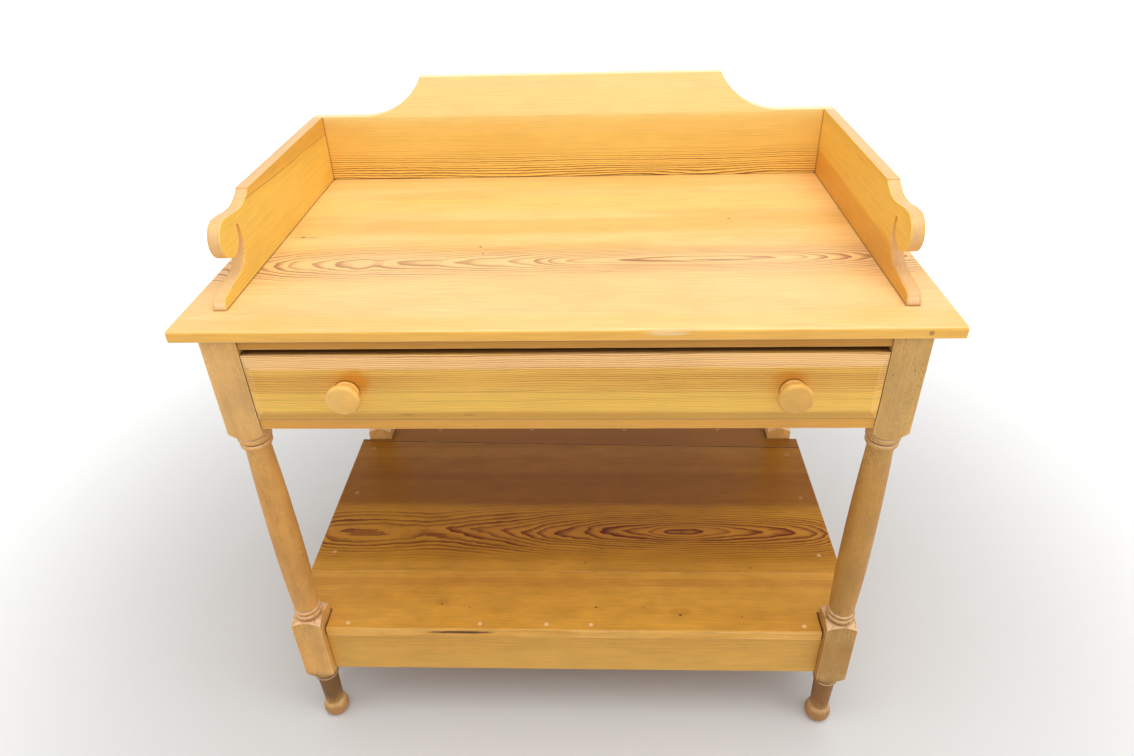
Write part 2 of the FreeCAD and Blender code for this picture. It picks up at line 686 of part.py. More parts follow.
for side, word in ((-1, "left"), (1, "right")):
    apron = [mirrored_box(side, apron_in, apron_out, leg_rear, back_leg_face, rail_low, top_under)]
    apron += side_tenons(side, (apron_in + apron_out) / 2, *apron_tenon)
    node(fuse(apron), f"apron_{word}")
    rail = [mirrored_box(side, shelf_rail_in, shelf_rail_out, leg_rear, back_leg_face,
                         shelf_rail_low, shelf_low)]
    rail += side_tenons(side, (shelf_rail_in + shelf_rail_out) / 2, *shelf_tenon)
    node(cut(fuse(rail), [group(side_nails[side])]), f"shelf_rail_{word}")

    def square_of_leg(y0, y1):
        return mirrored_box(side, leg_in, leg_out, y0, y1, ZERO, top_under, "LegSquare")

    slip_x = (apron_in - s.runner_wide, apron_in)
    runner = mirrored_box(side, *slip_x, rail_rear, back_apron_face, rail_low, opening_low)
    kicker = mirrored_box(side, *slip_x, rail_rear, back_apron_face, opening_top, top_under)
    squares = [square_of_leg(leg_face, leg_rear), square_of_leg(back_leg_face, back_leg_rear)]
    node(cut(runner, squares), f"drawer_runner_{word}")
    node(cut(kicker, squares + [group(kicker_screws[side])]), f"drawer_kicker_{word}")
    node(mirrored_box(side, leg_in, apron_in, leg_rear, back_leg_face, opening_low,
                      opening_low + s.guide_high), f"drawer_guide_{word}")

for side, word in ((-1, "left"), (1, "right")):
    for end, y in (("front", leg_y), ("back", back_leg_rear - s.leg_block / 2)):
        tools = mortises[side, end] + ([upper_body] if end == "front" else [])
        node(cut(leg(leg_x * side, y), tools), f"leg_{end}_{word}")

# ---------------------------------------------------------------- drawer
field = leg_face - s.front_proud
bevel_foot = field + s.bevel_deep
front_rear = field + s.front_thick
front_low = opening_low + s.drawer_gap_low
front_top = opening_top - s.drawer_gap_top
drawer_half = leg_in - s.drawer_gap
side_in = drawer_half - s.side_thick
side_low = opening_low + s.run_gap
drawer_rear = back_apron_face - s.drawer_behind
bottom_low = side_low + s.bottom_up
bottom_top = bottom_low + s.bottom_thick

raised = doc.addObject("Part::Wedge", "Field")
bind(raised, Xmin=s.bevel_end - drawer_half, Xmax=drawer_half - s.bevel_end,
     X2min=-drawer_half, X2max=drawer_half, Ymin=field, Ymax=bevel_foot,
     Zmin=front_low + s.bevel_edge, Zmax=front_top - s.bevel_edge, Z2min=front_low, Z2max=front_top)
plate = box(-drawer_half, drawer_half, bevel_foot, front_rear, front_low, front_top)
bottom = box(-side_in - s.groove_deep, side_in + s.groove_deep, front_rear - s.groove_deep,
             drawer_rear, bottom_low, bottom_top, "Bottom")

tails, pins = {}, {}
front_mid, pitch = (front_low + front_top) / 2, (front_top - front_low) / len(TAILS)
back_top = front_top - s.back_drop
back_mid, back_span = (bottom_top + back_top) / 2, back_top - bottom_top
for side in (-1, 1):
    x = (side_in, drawer_half) if side > 0 else (-drawer_half, -side_in)
    tails[side] = [wedge(x, front_rear - s.tail_long, front_rear, s.tail_end, s.tail_neck,
                         front_mid + pitch * step, "Tail") for step in TAILS]
    pins[side] = [wedge(x, drawer_rear - s.back_thick, drawer_rear, s.pin_wide, s.pin_narrow,
                        back_mid + back_span * part, "Pin") for part in PINS]

knobs = {}
rim = s.knob_reach - s.knob_dome - s.quirk * 2
for side, word, knob_in in ((-1, "left", s.knob_in_left), (1, "right", s.knob_in_right)):
    body = new_body("Knob")
    profile = outline(body, "XZ_Plane", [[
        (ZERO, -s.front_thick),
        (s.spigot_radius, -s.front_thick),
        (s.spigot_radius, ZERO),
        (s.knob_neck, ZERO, ("x", s.knob_neck + s.knob_cove, -1)),
        (s.knob_neck, s.knob_stem, ("y", rim, 1)),
        (s.knob_radius, rim, ("y", rim, 1)),
        (s.knob_radius - s.quirk, s.knob_reach - s.knob_dome + s.quirk, ("x", ZERO, 1)),
        (ZERO, s.knob_reach),
    ]])
    revolved = body.newObject("PartDesign::Revolution", "Turning")
    revolved.Profile = profile
    revolved.ReferenceAxis = (profile, ["V_Axis"])
    revolved.Angle = 360
    place(body, (drawer_half - knob_in) * side, field, front_mid, FORWARD)
    knobs[side] = node(body, f"drawer_knob_{word}")

node(cut(fuse([plate, raised]), tails[-1] + tails[1] + [bottom, knobs[-1], knobs[1]]), "drawer_front")
bottom_nails = [nail(side_in * part, drawer_rear - s.back_thick / 2, bottom_low,
                     s.bottom_thick + s.small_nail_bite, UP) for part in BOTTOM_NAILS]
node(cut(bottom, [group(bottom_nails)]), "drawer_bottom")
back_board = box(-side_in, side_in, drawer_rear - s.back_thick, drawer_rear, bottom_top, back_top)
node(cut(fuse([back_board] + pins[-1] + pins[1]), [group(bottom_nails)]), "drawer_back")
for side, word in ((-1, "left"), (1, "right")):
    board = mirrored_box(side, side_in, drawer_half, front_rear, drawer_rear, side_low, front_top)
    node(cut(fuse([board] + tails[side]), [bottom] + pins[side]), f"drawer_side_{word}")

# ---------------------------------------------------------------- pot shelf
notch_in = leg_in - s.notch_gap
notch_end = shelf_half + s.notch_gap
notches = []
for side in (-1, 1):
    notches.append(mirrored_box(side, notch_in, notch_end, shelf_edge - s.notch_gap,
                                leg_rear + s.notch_deep_gap, shelf_low, s.shelf_up, "Notch"))
    notches.append(mirrored_box(side, notch_in, notch_end, back_leg_face - s.notch_gap / 2,
                                back_leg_rear + s.notch_gap, shelf_low, s.shelf_up, "Notch"))
boards = (
    ("front", (shelf_edge, shelf_edge), (board_joint, board_joint)),
    ("middle", (board_joint, board_joint), (strip_edge[-1] - s.strip_crack, strip_edge[1] - s.strip_crack)),
    ("back", (strip_edge[-1], strip_edge[1]), (back_leg_rear, back_leg_rear)),
)
shelf_nails = front_nails + back_nails + side_nails[-1] + side_nails[1]
for word, near, far in boards:
    body = new_body("ShelfBoard")
    profile = outline(body, "XY_Plane", [[
        (-shelf_half, near[0]), (shelf_half, near[1]), (shelf_half, far[1]), (-shelf_half, far[0]),
    ]])
    pad = body.newObject("PartDesign::Pad", "Board")
    pad.Profile = profile
    bind(pad, Length=s.shelf_thick)
    place(body, ZERO, ZERO, shelf_low)
    node(cut(body, notches + [group(shelf_nails)]), f"shelf_board_{word}")

# ---------------------------------------------------------------- small pieces
stop_y = front_rear + s.run_gap
stop_x = leg_in - s.stop_in
stops = [mirrored_box(side, stop_x - s.stop_long / 2, stop_x + s.stop_long / 2,
                      stop_y, stop_y + s.stop_wide, opening_low, opening_low + s.stop_high, "Stop")
         for side in (-1, 1)]
node(group(stops), "drawer_stops")
block_x = leg_in - s.glue_block_in
blocks = [box(block_x * step - s.glue_block_long / 2, block_x * step + s.glue_block_long / 2,
              back_apron_face - s.glue_block, back_apron_face, top_under - s.glue_block, top_under, "Block")
          for step in (-1, 0, 1)]
node(group(blocks), "glue_blocks")
node(group(top_screws), "top_screws")
node(group(side_screws + gallery_back_screws), "gallery_screws")
node(group(gallery_nails[-1] + gallery_nails[1]), "gallery_nails")
node(group(shelf_nails), "shelf_nails")
node(group(bottom_nails), "drawer_bottom_nails")

# ---------------------------------------------------------------- checks and export
doc.recompute()
failed = [o.Name for o in doc.Objects if "Invalid" in o.State or "Error" in o.State]
if failed:
    raise SystemExit(f"objects that failed: {failed}")
for obj in parts:
    if obj.Shape.isNull() or not obj.Shape.isValid() or obj.Shape.Volume <= 0:
        raise SystemExit(f"bad shape: {obj.Label}")
    if len(obj.Shape.Solids) < 1:
        raise SystemExit(f"no solid: {obj.Label}")

os.makedirs("parts", exist_ok=True)
for obj in parts:
    obj.Shape.exportStep(os.path.join("parts", obj.Label + ".step"))
    print(f"{obj.Label:24s} solids {len(obj.Shape.Solids):2d}  volume {obj.Shape.Volume / 1000:9.1f} cm3")
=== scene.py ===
"""The pine washstand's materials, turned knobs, light and camera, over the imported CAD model."""
import math

import bmesh
import bpy
from mathutils import Matrix, Vector


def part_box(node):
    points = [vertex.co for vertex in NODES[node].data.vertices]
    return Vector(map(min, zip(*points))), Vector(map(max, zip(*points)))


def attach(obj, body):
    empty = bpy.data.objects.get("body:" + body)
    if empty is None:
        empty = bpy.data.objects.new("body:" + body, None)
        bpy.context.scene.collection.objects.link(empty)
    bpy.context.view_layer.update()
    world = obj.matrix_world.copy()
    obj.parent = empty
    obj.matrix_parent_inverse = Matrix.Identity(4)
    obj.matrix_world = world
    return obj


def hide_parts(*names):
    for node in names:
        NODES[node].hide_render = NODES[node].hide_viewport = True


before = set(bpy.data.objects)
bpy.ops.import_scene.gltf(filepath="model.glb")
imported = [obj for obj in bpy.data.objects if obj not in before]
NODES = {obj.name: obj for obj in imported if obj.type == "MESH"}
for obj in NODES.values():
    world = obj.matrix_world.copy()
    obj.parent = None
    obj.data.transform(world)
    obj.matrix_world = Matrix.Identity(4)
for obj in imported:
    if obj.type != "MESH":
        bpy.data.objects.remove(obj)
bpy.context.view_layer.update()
MM = 0.001


def srgb(r, g, b):
    """Linear RGBA of an 8-bit sRGB colour."""
    def linear(v):
        v /= 255
        return v / 12.92 if v <= 0.04045 else ((v + 0.055) / 1.055) ** 2.4
    return linear(r), linear(g), linear(b), 1.0


# ---------------------------------------------------------------- camera
IMAGE_W, IMAGE_H = 1134, 756
FOCAL_PX = 781.8
PRINCIPAL = (570.3, 357.35)
CAMERA_AT = (0.0466, -1.0108, 1.2045)
CAMERA_TURN = (2.61, 32.50, -1.69)   # yaw to the left, pitch downwards, roll, degrees


def add_camera():
    data = bpy.data.cameras.new("camera")
    data.sensor_width = 36.0
    data.lens = FOCAL_PX / IMAGE_W * data.sensor_width
    data.shift_x = (IMAGE_W / 2 - PRINCIPAL[0]) / IMAGE_W
    data.shift_y = (PRINCIPAL[1] - IMAGE_H / 2) / IMAGE_W
    data.clip_start, data.clip_end = 0.05, 60
    camera = bpy.data.objects.new("camera", data)
    yaw, pitch, roll = (math.radians(a) for a in CAMERA_TURN)
    turn = (Matrix.Rotation(yaw, 4, "Z") @ Matrix.Rotation(math.pi / 2 - pitch, 4, "X")
            @ Matrix.Rotation(roll, 4, "Z"))
    camera.matrix_world = Matrix.Translation(CAMERA_AT) @ turn
    bpy.context.scene.collection.objects.link(camera)
    bpy.context.scene.camera = camera


# ---------------------------------------------------------------- node writing
# The Mix node's sockets, as (factor, a, b, result): names are shared between its data types
MIX_COLOURS = (0, 6, 7, 2)
MIX_NUMBERS = (0, 2, 3, 0)


class Tree:
    """A material whose nodes are written as expressions."""

    def __init__(self, name):
        self.material = bpy.data.materials.new(name)
        self.material.use_nodes = True
        self.nodes = self.material.node_tree.nodes
        self.links = self.material.node_tree.links
        self.shader = self.nodes["Principled BSDF"]

    def put(self, socket, value):
        """Gives a socket a link if value is another node's output, or else a constant."""
        if isinstance(value, bpy.types.NodeSocket):
            self.links.new(value, socket)
        else:
            socket.default_value = value

    def node(self, kind, inputs=(), output=0, **settings):
        """A new node's output, with its inputs given in order or by name."""
        node = self.nodes.new(kind)
        for key, value in settings.items():
            setattr(node, key, value)
        for key, value in (inputs.items() if isinstance(inputs, dict) else enumerate(inputs)):
            self.put(node.inputs[key], value)
        return node.outputs[output]

    def math(self, operation, *values):
        return self.node("ShaderNodeMath", values, operation=operation)

    def add(self, a, b):
        return self.math("ADD", a, b)

    def sub(self, a, b):
        return self.math("SUBTRACT", a, b)

    def mul(self, a, b):
        return self.math("MULTIPLY", a, b)

    def total(self, *values):
        result = values[0]
        for value in values[1:]:
            result = self.add(result, value)
        return result

    def smooth(self, value, low, high):
        """0 below low, 1 above high, smooth between (low may be above high)."""
        return self.node("ShaderNodeMapRange", {"Value": value, "From Min": low, "From Max": high},
                         interpolation_type="SMOOTHSTEP")

    def mix(self, factor, a, b):
        """Colour between a and b."""
        *places, result = MIX_COLOURS
        return self.node("ShaderNodeMix", dict(zip(places, (factor, a, b))), result, data_type="RGBA",
                         clamp_factor=True)

    def noise(self, vector, scale=1.0, detail=2.0, roughness=0.5):
        return self.node("ShaderNodeTexNoise", {"Vector": vector, "Scale": scale, "Detail": detail,
                                                "Roughness": roughness})

    def vector(self, x, y, z):
        return self.node("ShaderNodeCombineXYZ", (x, y, z))

    def split(self, vector):
        node = self.nodes.new("ShaderNodeSeparateXYZ")
        self.put(node.inputs[0], vector)
        return node.outputs[0], node.outputs[1], node.outputs[2]

    def length(self, a, b):
        """Length of what goes a one way and b square to it."""
        return self.math("SQRT", self.add(self.mul(a, a), self.mul(b, b)))

    def scale(self, colour, factor):
        return self.node("ShaderNodeVectorMath", {0: colour, "Scale": factor}, operation="SCALE")

    def curve(self, value, points, low, high):
        """Smooth curve through (x, y) points, whose ends hold beyond them."""
        first, last = points[0][0], points[-1][0]
        place = self.node("ShaderNodeMapRange", {"Value": value, "From Min": first, "From Max": last})
        node = self.nodes.new("ShaderNodeFloatCurve")
        line = node.mapping.curves[0]
        unit = [((x - first) / (last - first), (y - low) / (high - low)) for x, y in points]
        line.points[0].location, line.points[1].location = unit[0], unit[-1]
        for point in unit[1:-1]:
            line.points.new(*point)
        node.mapping.update()
        self.put(node.inputs["Value"], place)
        return self.add(self.mul(node.outputs[0], high - low), low)


# ---------------------------------------------------------------- materials
# DIRT_AND_SHADE is the dark brown of grime and of painted shade in corners, gaps and joints
DIRT_AND_SHADE = srgb(70, 38, 14)
# WORN_AND_HIGHLIGHT is the pale of worn arrises and of their painted highlight
WORN_AND_HIGHLIGHT = srgb(250, 215, 165)
PALE_TOP = srgb(246, 206, 164)
KNOT_EYE = srgb(96, 52, 22)
GRIT = srgb(112, 82, 42)
STEEL = srgb(112, 104, 96)
STEEL_SPOT = srgb(80.64, 74.88, 69.12)
PUTTY_FRONT = srgb(244, 200, 142)
# PUTTY_BACK carries painted shade: the putty at the back of the shelf lies in the top's shade
PUTTY_BACK = srgb(164, 118, 64)
SEED_STEP = 977.0         # millimetres along the grain from one seed's noise to the next
PUSH_SLIM = 0.4           # width by length of the rings that a knot pushes aside
EYE_SLIM = 0.7416         # width by length of a knot's eye
WEAR_AND_HIGHLIGHT_REACH = 2.2 * MM     # how far from an arris its worn band and painted highlight reach
RELIEF = 0.4 * MM         # height of the grain


class Board:
    """A piece's millimetres along its grain, across its face and outward from it, as nodes."""

    def __init__(self, name, grain, zero, seed):
        self.tree = t = Tree(name)
        axes = dict(zip("xyz", t.split(t.node("ShaderNodeTexCoord", output="Object"))))
        self.along, self.across, self.outward = (t.math("MULTIPLY_ADD", axes[axis], 1 / MM, -origin)
                                                 for axis, origin in zip(grain.lower(), zero))
        if grain[2].isupper():
            self.outward = t.mul(self.outward, -1.0)
        self.seeded = t.add(self.along, seed * SEED_STEP)
        self.slow = t.sub(self.noise(150.0, 26.0), 0.5)         # long waves of the rings
        self.quick = t.sub(self.noise(17.0, 4.5, 3.0), 0.5)     # short waves of the rings
        self.broad = self.noise(330.0, 60.0, 3.0)               # areas of stronger grain
        self.rub = self.noise(40.0, 8.0, 3.0)                   # places rubbed by use

    def noise(self, run, wide, detail=2.0, roughness=0.5):
        """Noise in streaks that are run millimetres long and wide millimetres across."""
        t = self.tree
        place = t.vector(t.mul(self.seeded, 1 / run), t.mul(self.across, 1 / wide),
                         t.mul(self.outward, 1 / wide))
        return t.noise(place, detail=detail, roughness=roughness)


def below_face(board, depth, ring):
    """Depth of the pith, from a number or from points (along, depth)."""
    t = board.tree
    if isinstance(depth, (int, float)):
        return t.math("MULTIPLY_ADD", board.noise(260.0, 3000.0, 1.0), ring * 7, depth - ring * 3.5)
    tops = [y for _, y in depth]
    below = t.curve(board.along, depth, min(tops) - 1, max(tops) + 1)
    return t.add(below, t.mul(t.sub(board.noise(70.0, 3000.0, 2.0), 0.5), ring * 1.3))


def push_by_knots(board, rings, knots):
    """The rings' distance from the pith, pushed aside by knots, and the mask of their eyes."""
    t = board.tree
    eyes = 0.0
    for run, wide, radius in knots:
        a = t.mul(t.sub(board.along, run), 1 / radius)
        b = t.mul(t.sub(board.across, wide), 1 / radius)
        push = t.math("EXPONENT", t.mul(t.length(t.mul(a, PUSH_SLIM), b), -0.9))
        rings = t.add(rings, t.mul(push, radius * 1.6))
        near = t.add(t.length(t.mul(a, EYE_SLIM), b), t.mul(board.quick, 0.9))
        eyes = t.math("MAXIMUM", eyes, t.smooth(near, 1.1, 0.45))
    return rings, eyes


def late_wood(board, rings, side, ring, seed, start, band, strong, faint):
    """How far each place is dark late wood: strong within band of the pith, faint beyond it."""
    t = board.tree
    # count numbers the rings, of uneven width, and each is one random number per ring
    uneven = t.noise(t.vector(t.mul(rings, 0.11 / ring), seed, 0.0), detail=1.0)
    count = t.add(t.mul(rings, 1 / ring), t.mul(uneven, 2.0))
    each = t.node("ShaderNodeTexWhiteNoise", {"W": t.math("FLOOR", count)}, noise_dimensions="1D")
    # the late wood darkens slowly through the rest of its ring and ends at once
    part = t.math("FRACT", count)
    begins = t.math("MULTIPLY_ADD", each, -0.25, start)
    late = t.mul(t.smooth(part, begins, 0.93), t.smooth(part, 1.0, 0.955))
    middle = t.smooth(t.math("ABSOLUTE", side), band, band * 0.45)
    contrast = t.math("MULTIPLY_ADD", middle, strong - faint, faint)
    amount = t.mul(t.mul(late, contrast), t.math("MULTIPLY_ADD", each, 0.6, 0.7))
    return t.mul(amount, t.math("MULTIPLY_ADD", t.smooth(board.broad, 0.25, 0.6), 0.6, 0.4))


def add_stripes(board, colour, level, stripes):
    """Lighter and darker stripes along the grain, which waver a little."""
    t = board.tree
    for place, half, paint, strength in stripes:
        off = t.math("ABSOLUTE", t.sub(t.add(level, t.mul(board.slow, 5.0)), place))
        colour = t.mix(t.mul(t.smooth(off, half * 1.25, half * 0.75), strength), colour, srgb(*paint))
    return colour


def add_edge(board, colour, edge):
    """The colour of what lies between a board's two faces."""
    t = board.tree
    thick, paint, strength = edge
    below_front = t.smooth(board.outward, -0.9, -2.4)
    above_rear = t.smooth(board.outward, 0.9 - thick, 2.4 - thick)
    mask = t.mul(below_front, above_rear)
    return t.mix(t.mul(mask, strength), colour, srgb(*paint))


def add_patches(board, colour, patches):
    """Stains with ragged outlines."""
    t = board.tree
    ragged = t.sub(board.noise(12.0, 5.0, 4.0, 0.6), 0.5)
    for run, wide, long, half, paint, strength, *deep in patches:
        offsets = [t.mul(t.sub(board.along, run), 1 / long), t.mul(t.sub(board.across, wide), 1 / half)]
        if deep:
            offsets.append(t.mul(t.sub(board.outward, deep[0]), 1 / deep[1]))
        far = t.add(t.total(*(t.mul(v, v) for v in offsets)), ragged)
        colour = t.mix(t.mul(t.smooth(far, 1.3, 0.15), strength), colour, srgb(*paint))
    return colour


def add_grit(board, colour, speck):
    """Dark specks that come in clouds."""
    t = board.tree
    grit = t.smooth(board.noise(5.0, 2.2, 4.0, 0.7), 0.5, 0.74)
    clouds = t.smooth(board.noise(55.0, 24.0, 3.0), 0.4, 0.68)
    return t.mix(t.mul(t.mul(grit, t.add(clouds, 0.25)), speck), colour, GRIT)


def add_wear_and_highlight(board, colour, wear):
    """Arrises paled by use and by a painted highlight, found by rounding the normal."""
    t = board.tree
    rounded = t.node("ShaderNodeBevel", {"Radius": WEAR_AND_HIGHLIGHT_REACH}, samples=4)
    flat = t.node("ShaderNodeNewGeometry", output="True Normal")
    turn = t.node("ShaderNodeVectorMath", (rounded, flat), output="Value", operation="DOT_PRODUCT")
    mask = t.mul(t.smooth(turn, 0.985, 0.9), t.smooth(board.rub, 0.35, 0.6))
    return t.mix(t.mul(mask, wear), colour, WORN_AND_HIGHLIGHT)


def add_pale_tops(board, colour, up, bare):
    """Paler wood in patches on what faces up."""
    t = board.tree
    mask = t.mul(t.mul(t.smooth(up, 0.3, 0.72), t.smooth(board.rub, 0.25, 0.5)), bare)
    return t.mix(mask, colour, PALE_TOP)


def add_dirt_and_shade(board, colour, up, dirt, reach, top_reach):
    """Dirt and painted shade in the corners, gaps and joints, which reach further on what faces up if
    top_reach is given.
    """
    t = board.tree
    near = reach * MM
    if top_reach:
        near = t.math("MULTIPLY_ADD", t.smooth(up, 0.6, 0.9), (top_reach - reach) * MM, near)
    hidden = t.node("ShaderNodeAmbientOcclusion", {"Distance": near}, output="AO", samples=8)
    return t.mix(t.mul(t.smooth(hidden, 0.82, 0.36), dirt), colour, DIRT_AND_SHADE)


def pine(name, grain, zero, depth=45.0, pith=0.0, ring=3.1, light=(236, 186, 116), dark=(176, 108, 52),
         tone=(226, 164, 84), band=60.0, strong=0.55, faint=0.22, wander=1.0, bow=8.0, fibre=0.07,
         mottle=0.5, speck=0.0, knots=(), stripes=(), dirt=0.8, wear=0.35, rough=0.42, seed=0.0,
         patches=(), edge=None, bare=0.0, start=0.62, lean=0.0, cloud=0.05,
         reach=4.0, top_reach=0.0, gloss=0.5):
    """Waxed pine as a solid texture of growth rings.

    grain names the axes along the grain, across the face and outward from it (a capital
    points it to the axis' negative side), and zero is a point of the face in millimetres.
    depth (a number or points (along, depth)) puts the pith below the face and pith puts it
    across.  ring is the width of a ring and start the share of it before its dark late wood,
    which is strong within band of the pith and faint beyond.  wander and bow bend the rings,
    and lean is the slope of pith and stripes across the face.

    light and tone are the two colours of the early wood, mottle mixes them, dark is the late
    wood, fibre and cloud are how strong fine lines and blotches are.  Knots are (along, across,
    radius), stripes are (across, half width, colour, strength) and patches (along, across,
    half length, half width, colour, strength, and outward and half height where they don't go
    through).  edge is the board's thickness with the colour and strength of its edges.

    wear pales worn arrises and adds a painted highlight on them, bare pales what faces up in patches,
    speck adds grit, and dirt darkens with grime and painted shade where another surface is nearer
    than reach, or than top_reach on what faces up."""
    board = Board(name, grain, zero, seed)
    t = board.tree
    level = t.math("MULTIPLY_ADD", board.along, -lean, board.across)
    side = t.add(t.sub(level, pith), t.mul(t.sub(board.noise(380.0, 4000.0, 1.0), 0.5), bow * 2))
    rings = t.length(side, t.add(below_face(board, depth, ring), board.outward))
    rings = t.total(rings, t.mul(board.slow, ring * 2.4 * wander), t.mul(board.quick, ring * 0.55 * wander))
    rings, eyes = push_by_knots(board, rings, knots)
    amount = late_wood(board, rings, side, ring, seed, start, band, strong, faint)

    colour = t.mix(t.mul(t.smooth(board.broad, 0.35, 0.7), mottle), srgb(*light), srgb(*tone))
    colour = add_stripes(board, colour, level, stripes)
    colour = t.mix(amount, colour, srgb(*dark))
    if edge:
        colour = add_edge(board, colour, edge)
    colour = add_patches(board, colour, patches)
    fine = t.sub(board.noise(60.0, 0.9, 2.0, 0.65), 0.5)
    lines = t.sub(board.noise(110.0, 2.6, 3.0, 0.6), 0.5)
    blotch = t.sub(board.noise(60.0, 30.0, 4.0, 0.6), 0.5)
    colour = t.scale(colour, t.total(t.mul(fine, fibre * 4), t.mul(lines, fibre * 2.5),
                                     t.mul(blotch, cloud * 4), 1.0))
    if knots:
        colour = t.mix(t.mul(eyes, 0.85), colour, KNOT_EYE)
    if speck:
        colour = add_grit(board, colour, speck)
    if wear:
        colour = add_wear_and_highlight(board, colour, wear)
    up = t.split(t.node("ShaderNodeNewGeometry", output="Normal"))[2]
    if bare:
        colour = add_pale_tops(board, colour, up, bare)
    if dirt:
        colour = add_dirt_and_shade(board, colour, up, dirt, reach, top_reach)

    t.put(t.shader.inputs["Base Color"], colour)
    t.shader.inputs["Specular IOR Level"].default_value = gloss
    t.put(t.shader.inputs["Roughness"], t.total(t.mul(board.rub, 0.16), t.mul(amount, 0.06), rough - 0.08))
    height = t.total(t.mul(amount, -0.6), t.mul(fine, 0.9), t.mul(board.rub, 0.8))
    bump = t.node("ShaderNodeBump", {"Height": height, "Distance": RELIEF, "Strength": 0.35})
    t.put(t.shader.inputs["Normal"], bump)
    return t.material


def steel(name):
    """Dull metal with darker spots."""
    t = Tree(name)
    spots = t.noise(t.node("ShaderNodeTexCoord", output="Object"), 900.0, 3.0)
    t.put(t.shader.inputs["Base Color"], t.mix(t.smooth(spots, 0.4, 0.7), STEEL, STEEL_SPOT))
    t.put(t.shader.inputs["Roughness"], t.math("MULTIPLY_ADD", spots, 0.3, 0.3))
    t.shader.inputs["Metallic"].default_value = 0.9
    return t.material


def putty():
    """Filled nail heads, darker towards the back with painted shade."""
    t = Tree("putty")
    depth = t.split(t.node("ShaderNodeTexCoord", output="Object"))[1]
    t.put(t.shader.inputs["Base Color"], t.mix(t.smooth(depth, -0.16, 0.0), PUTTY_FRONT, PUTTY_BACK))
    t.shader.inputs["Roughness"].default_value = 0.6
    return t.material


# ---------------------------------------------------------------- finishes of the pieces
def mm(node):
    """Lowest and highest corner of a piece in millimetres."""
    low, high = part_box(node)
    return [v / MM for v in low], [v / MM for v in high]


(_, FRONT, UNDER), (_, _, TOP) = mm("top_board_main")
BOARD = TOP - UNDER                                  # thickness of the top's and the shelf's boards
STRIP = mm("top_board_back")[0][1]                   # the joint between the boards of the top
SHELF = mm("shelf_board_front")[1][2]                # the shelf's face
SPLASH = mm("gallery_back")[0][1]                    # front face of the gallery's back
SPLASH_THICK = mm("gallery_back")[1][1] - SPLASH     # thickness of the gallery's boards
LEFT_FACE = mm("gallery_side_left")[1][0]            # inner faces of the gallery's sides
RIGHT_FACE = mm("gallery_side_right")[0][0]
TOE = mm("gallery_side_left")[0][1]                  # front ends of the gallery's sides
FIELD = mm("drawer_front")[0][1]                     # the drawer's raised field
DRAWER_MIDDLE = sum(corner[2] for corner in mm("drawer_front")) / 2
RAIL = mm("drawer_rail_upper")[0][1]                 # front faces of the rails above and below it
SHELF_RAIL = mm("shelf_rail_front")[0][1]            # front face of the rail under the shelf
APRON_LOW, APRON_HIGH = mm("apron_back")
ENDLESS = 3000                                       # half size of a patch that has no end
FINISH = {}

# The top and the gallery (the points of depth are the tips of the arches in a board's grain)
FINISH["top_board_main"] = pine(
    "pine_top_main", "xyz", (0, FRONT, TOP), pith=181,
    depth=((-450, 58), (-410, 51), (-381, 47), (-359, 43), (-325, 39.4), (-286, 35.6), (-270, 34),
           (-246, 36.4), (-239, 35.6), (-172, 31.8), (-114, 28), (-59, 24.2), (-29, 20.4), (-6, 16.6),
           (61, 12.8), (150, 9), (286, 12.8), (325, 16.6), (357, 20.4), (402, 25), (450, 31)),
    lean=0.014, ring=3.8, start=0.5, band=64, bow=2, wander=0.45,
    light=(250, 206, 134), tone=(244, 192, 110), dark=(150, 88, 58), mottle=0.9, strong=0.72, faint=0.18,
    fibre=0.13,
    edge=(BOARD, (238, 176, 62), 0.8),
    knots=((-380, 268, 2.2), (-118, 228, 1.8), (-112, 205, 1.8), (235, 318, 1.8)),
    stripes=((300, 26, (240, 184, 96), 0.55), (385, 30, (252, 208, 122), 0.6),
             (95, 60, (250, 203, 140), 0.5), (18, 14, (246, 196, 116), 0.5),
             (215, 10, (240, 188, 112), 0.5), (178, 36, (240, 196, 142), 0.45)),
    patches=((118, 178, 46, 2.4, (150, 92, 64), 0.7), (200, 181, 44, 1.6, (150, 92, 64), 0.75),
             (417, 0, 3.4, 3, (140, 84, 42), 0.7, -7, 3.6), (124, 0, 26, 3, (250, 226, 180), 0.45, -5, 4),
             (-375, 266, 26, 1.2, (110, 62, 28), 0.7)))
FINISH["top_board_back"] = pine(
    "pine_top_back", "xyz", (0, STRIP, TOP), pith=-90, depth=30, seed=1.7,
    light=(248, 202, 124), tone=(242, 188, 100), dark=(176, 110, 54), strong=0.35, faint=0.35,
    edge=(BOARD, (246, 194, 92), 0.8))
REAR = (0, 80, ENDLESS, ENDLESS, (222, 170, 100), 0.75, -SPLASH_THICK, 2.5)   # the outer faces
FINISH["gallery_back"] = pine(
    "pine_gallery_back", "xzY", (0, TOP, SPLASH), pith=-8, depth=15, ring=3.0, start=0.5, band=62, bow=4,
    wander=0.8, seed=6.1,
    light=(240, 200, 104), tone=(233, 184, 82), dark=(140, 78, 26), strong=1.0, faint=0.12,
    edge=(SPLASH_THICK, (248, 222, 172), 0.7),
    stripes=((12, 26, (252, 210, 106), 0.85), (150, 52, (253, 236, 168), 0.85),
             (88, 14, (244, 204, 116), 0.5)),
    patches=(REAR,))
SIDES = dict(pith=-60, ring=2.6, bow=2, dark=(160, 92, 32), faint=0.2, fibre=0.1, dirt=1.0,
             patches=((TOE, 9, 3, 8, (236, 214, 176), 0.5), REAR))
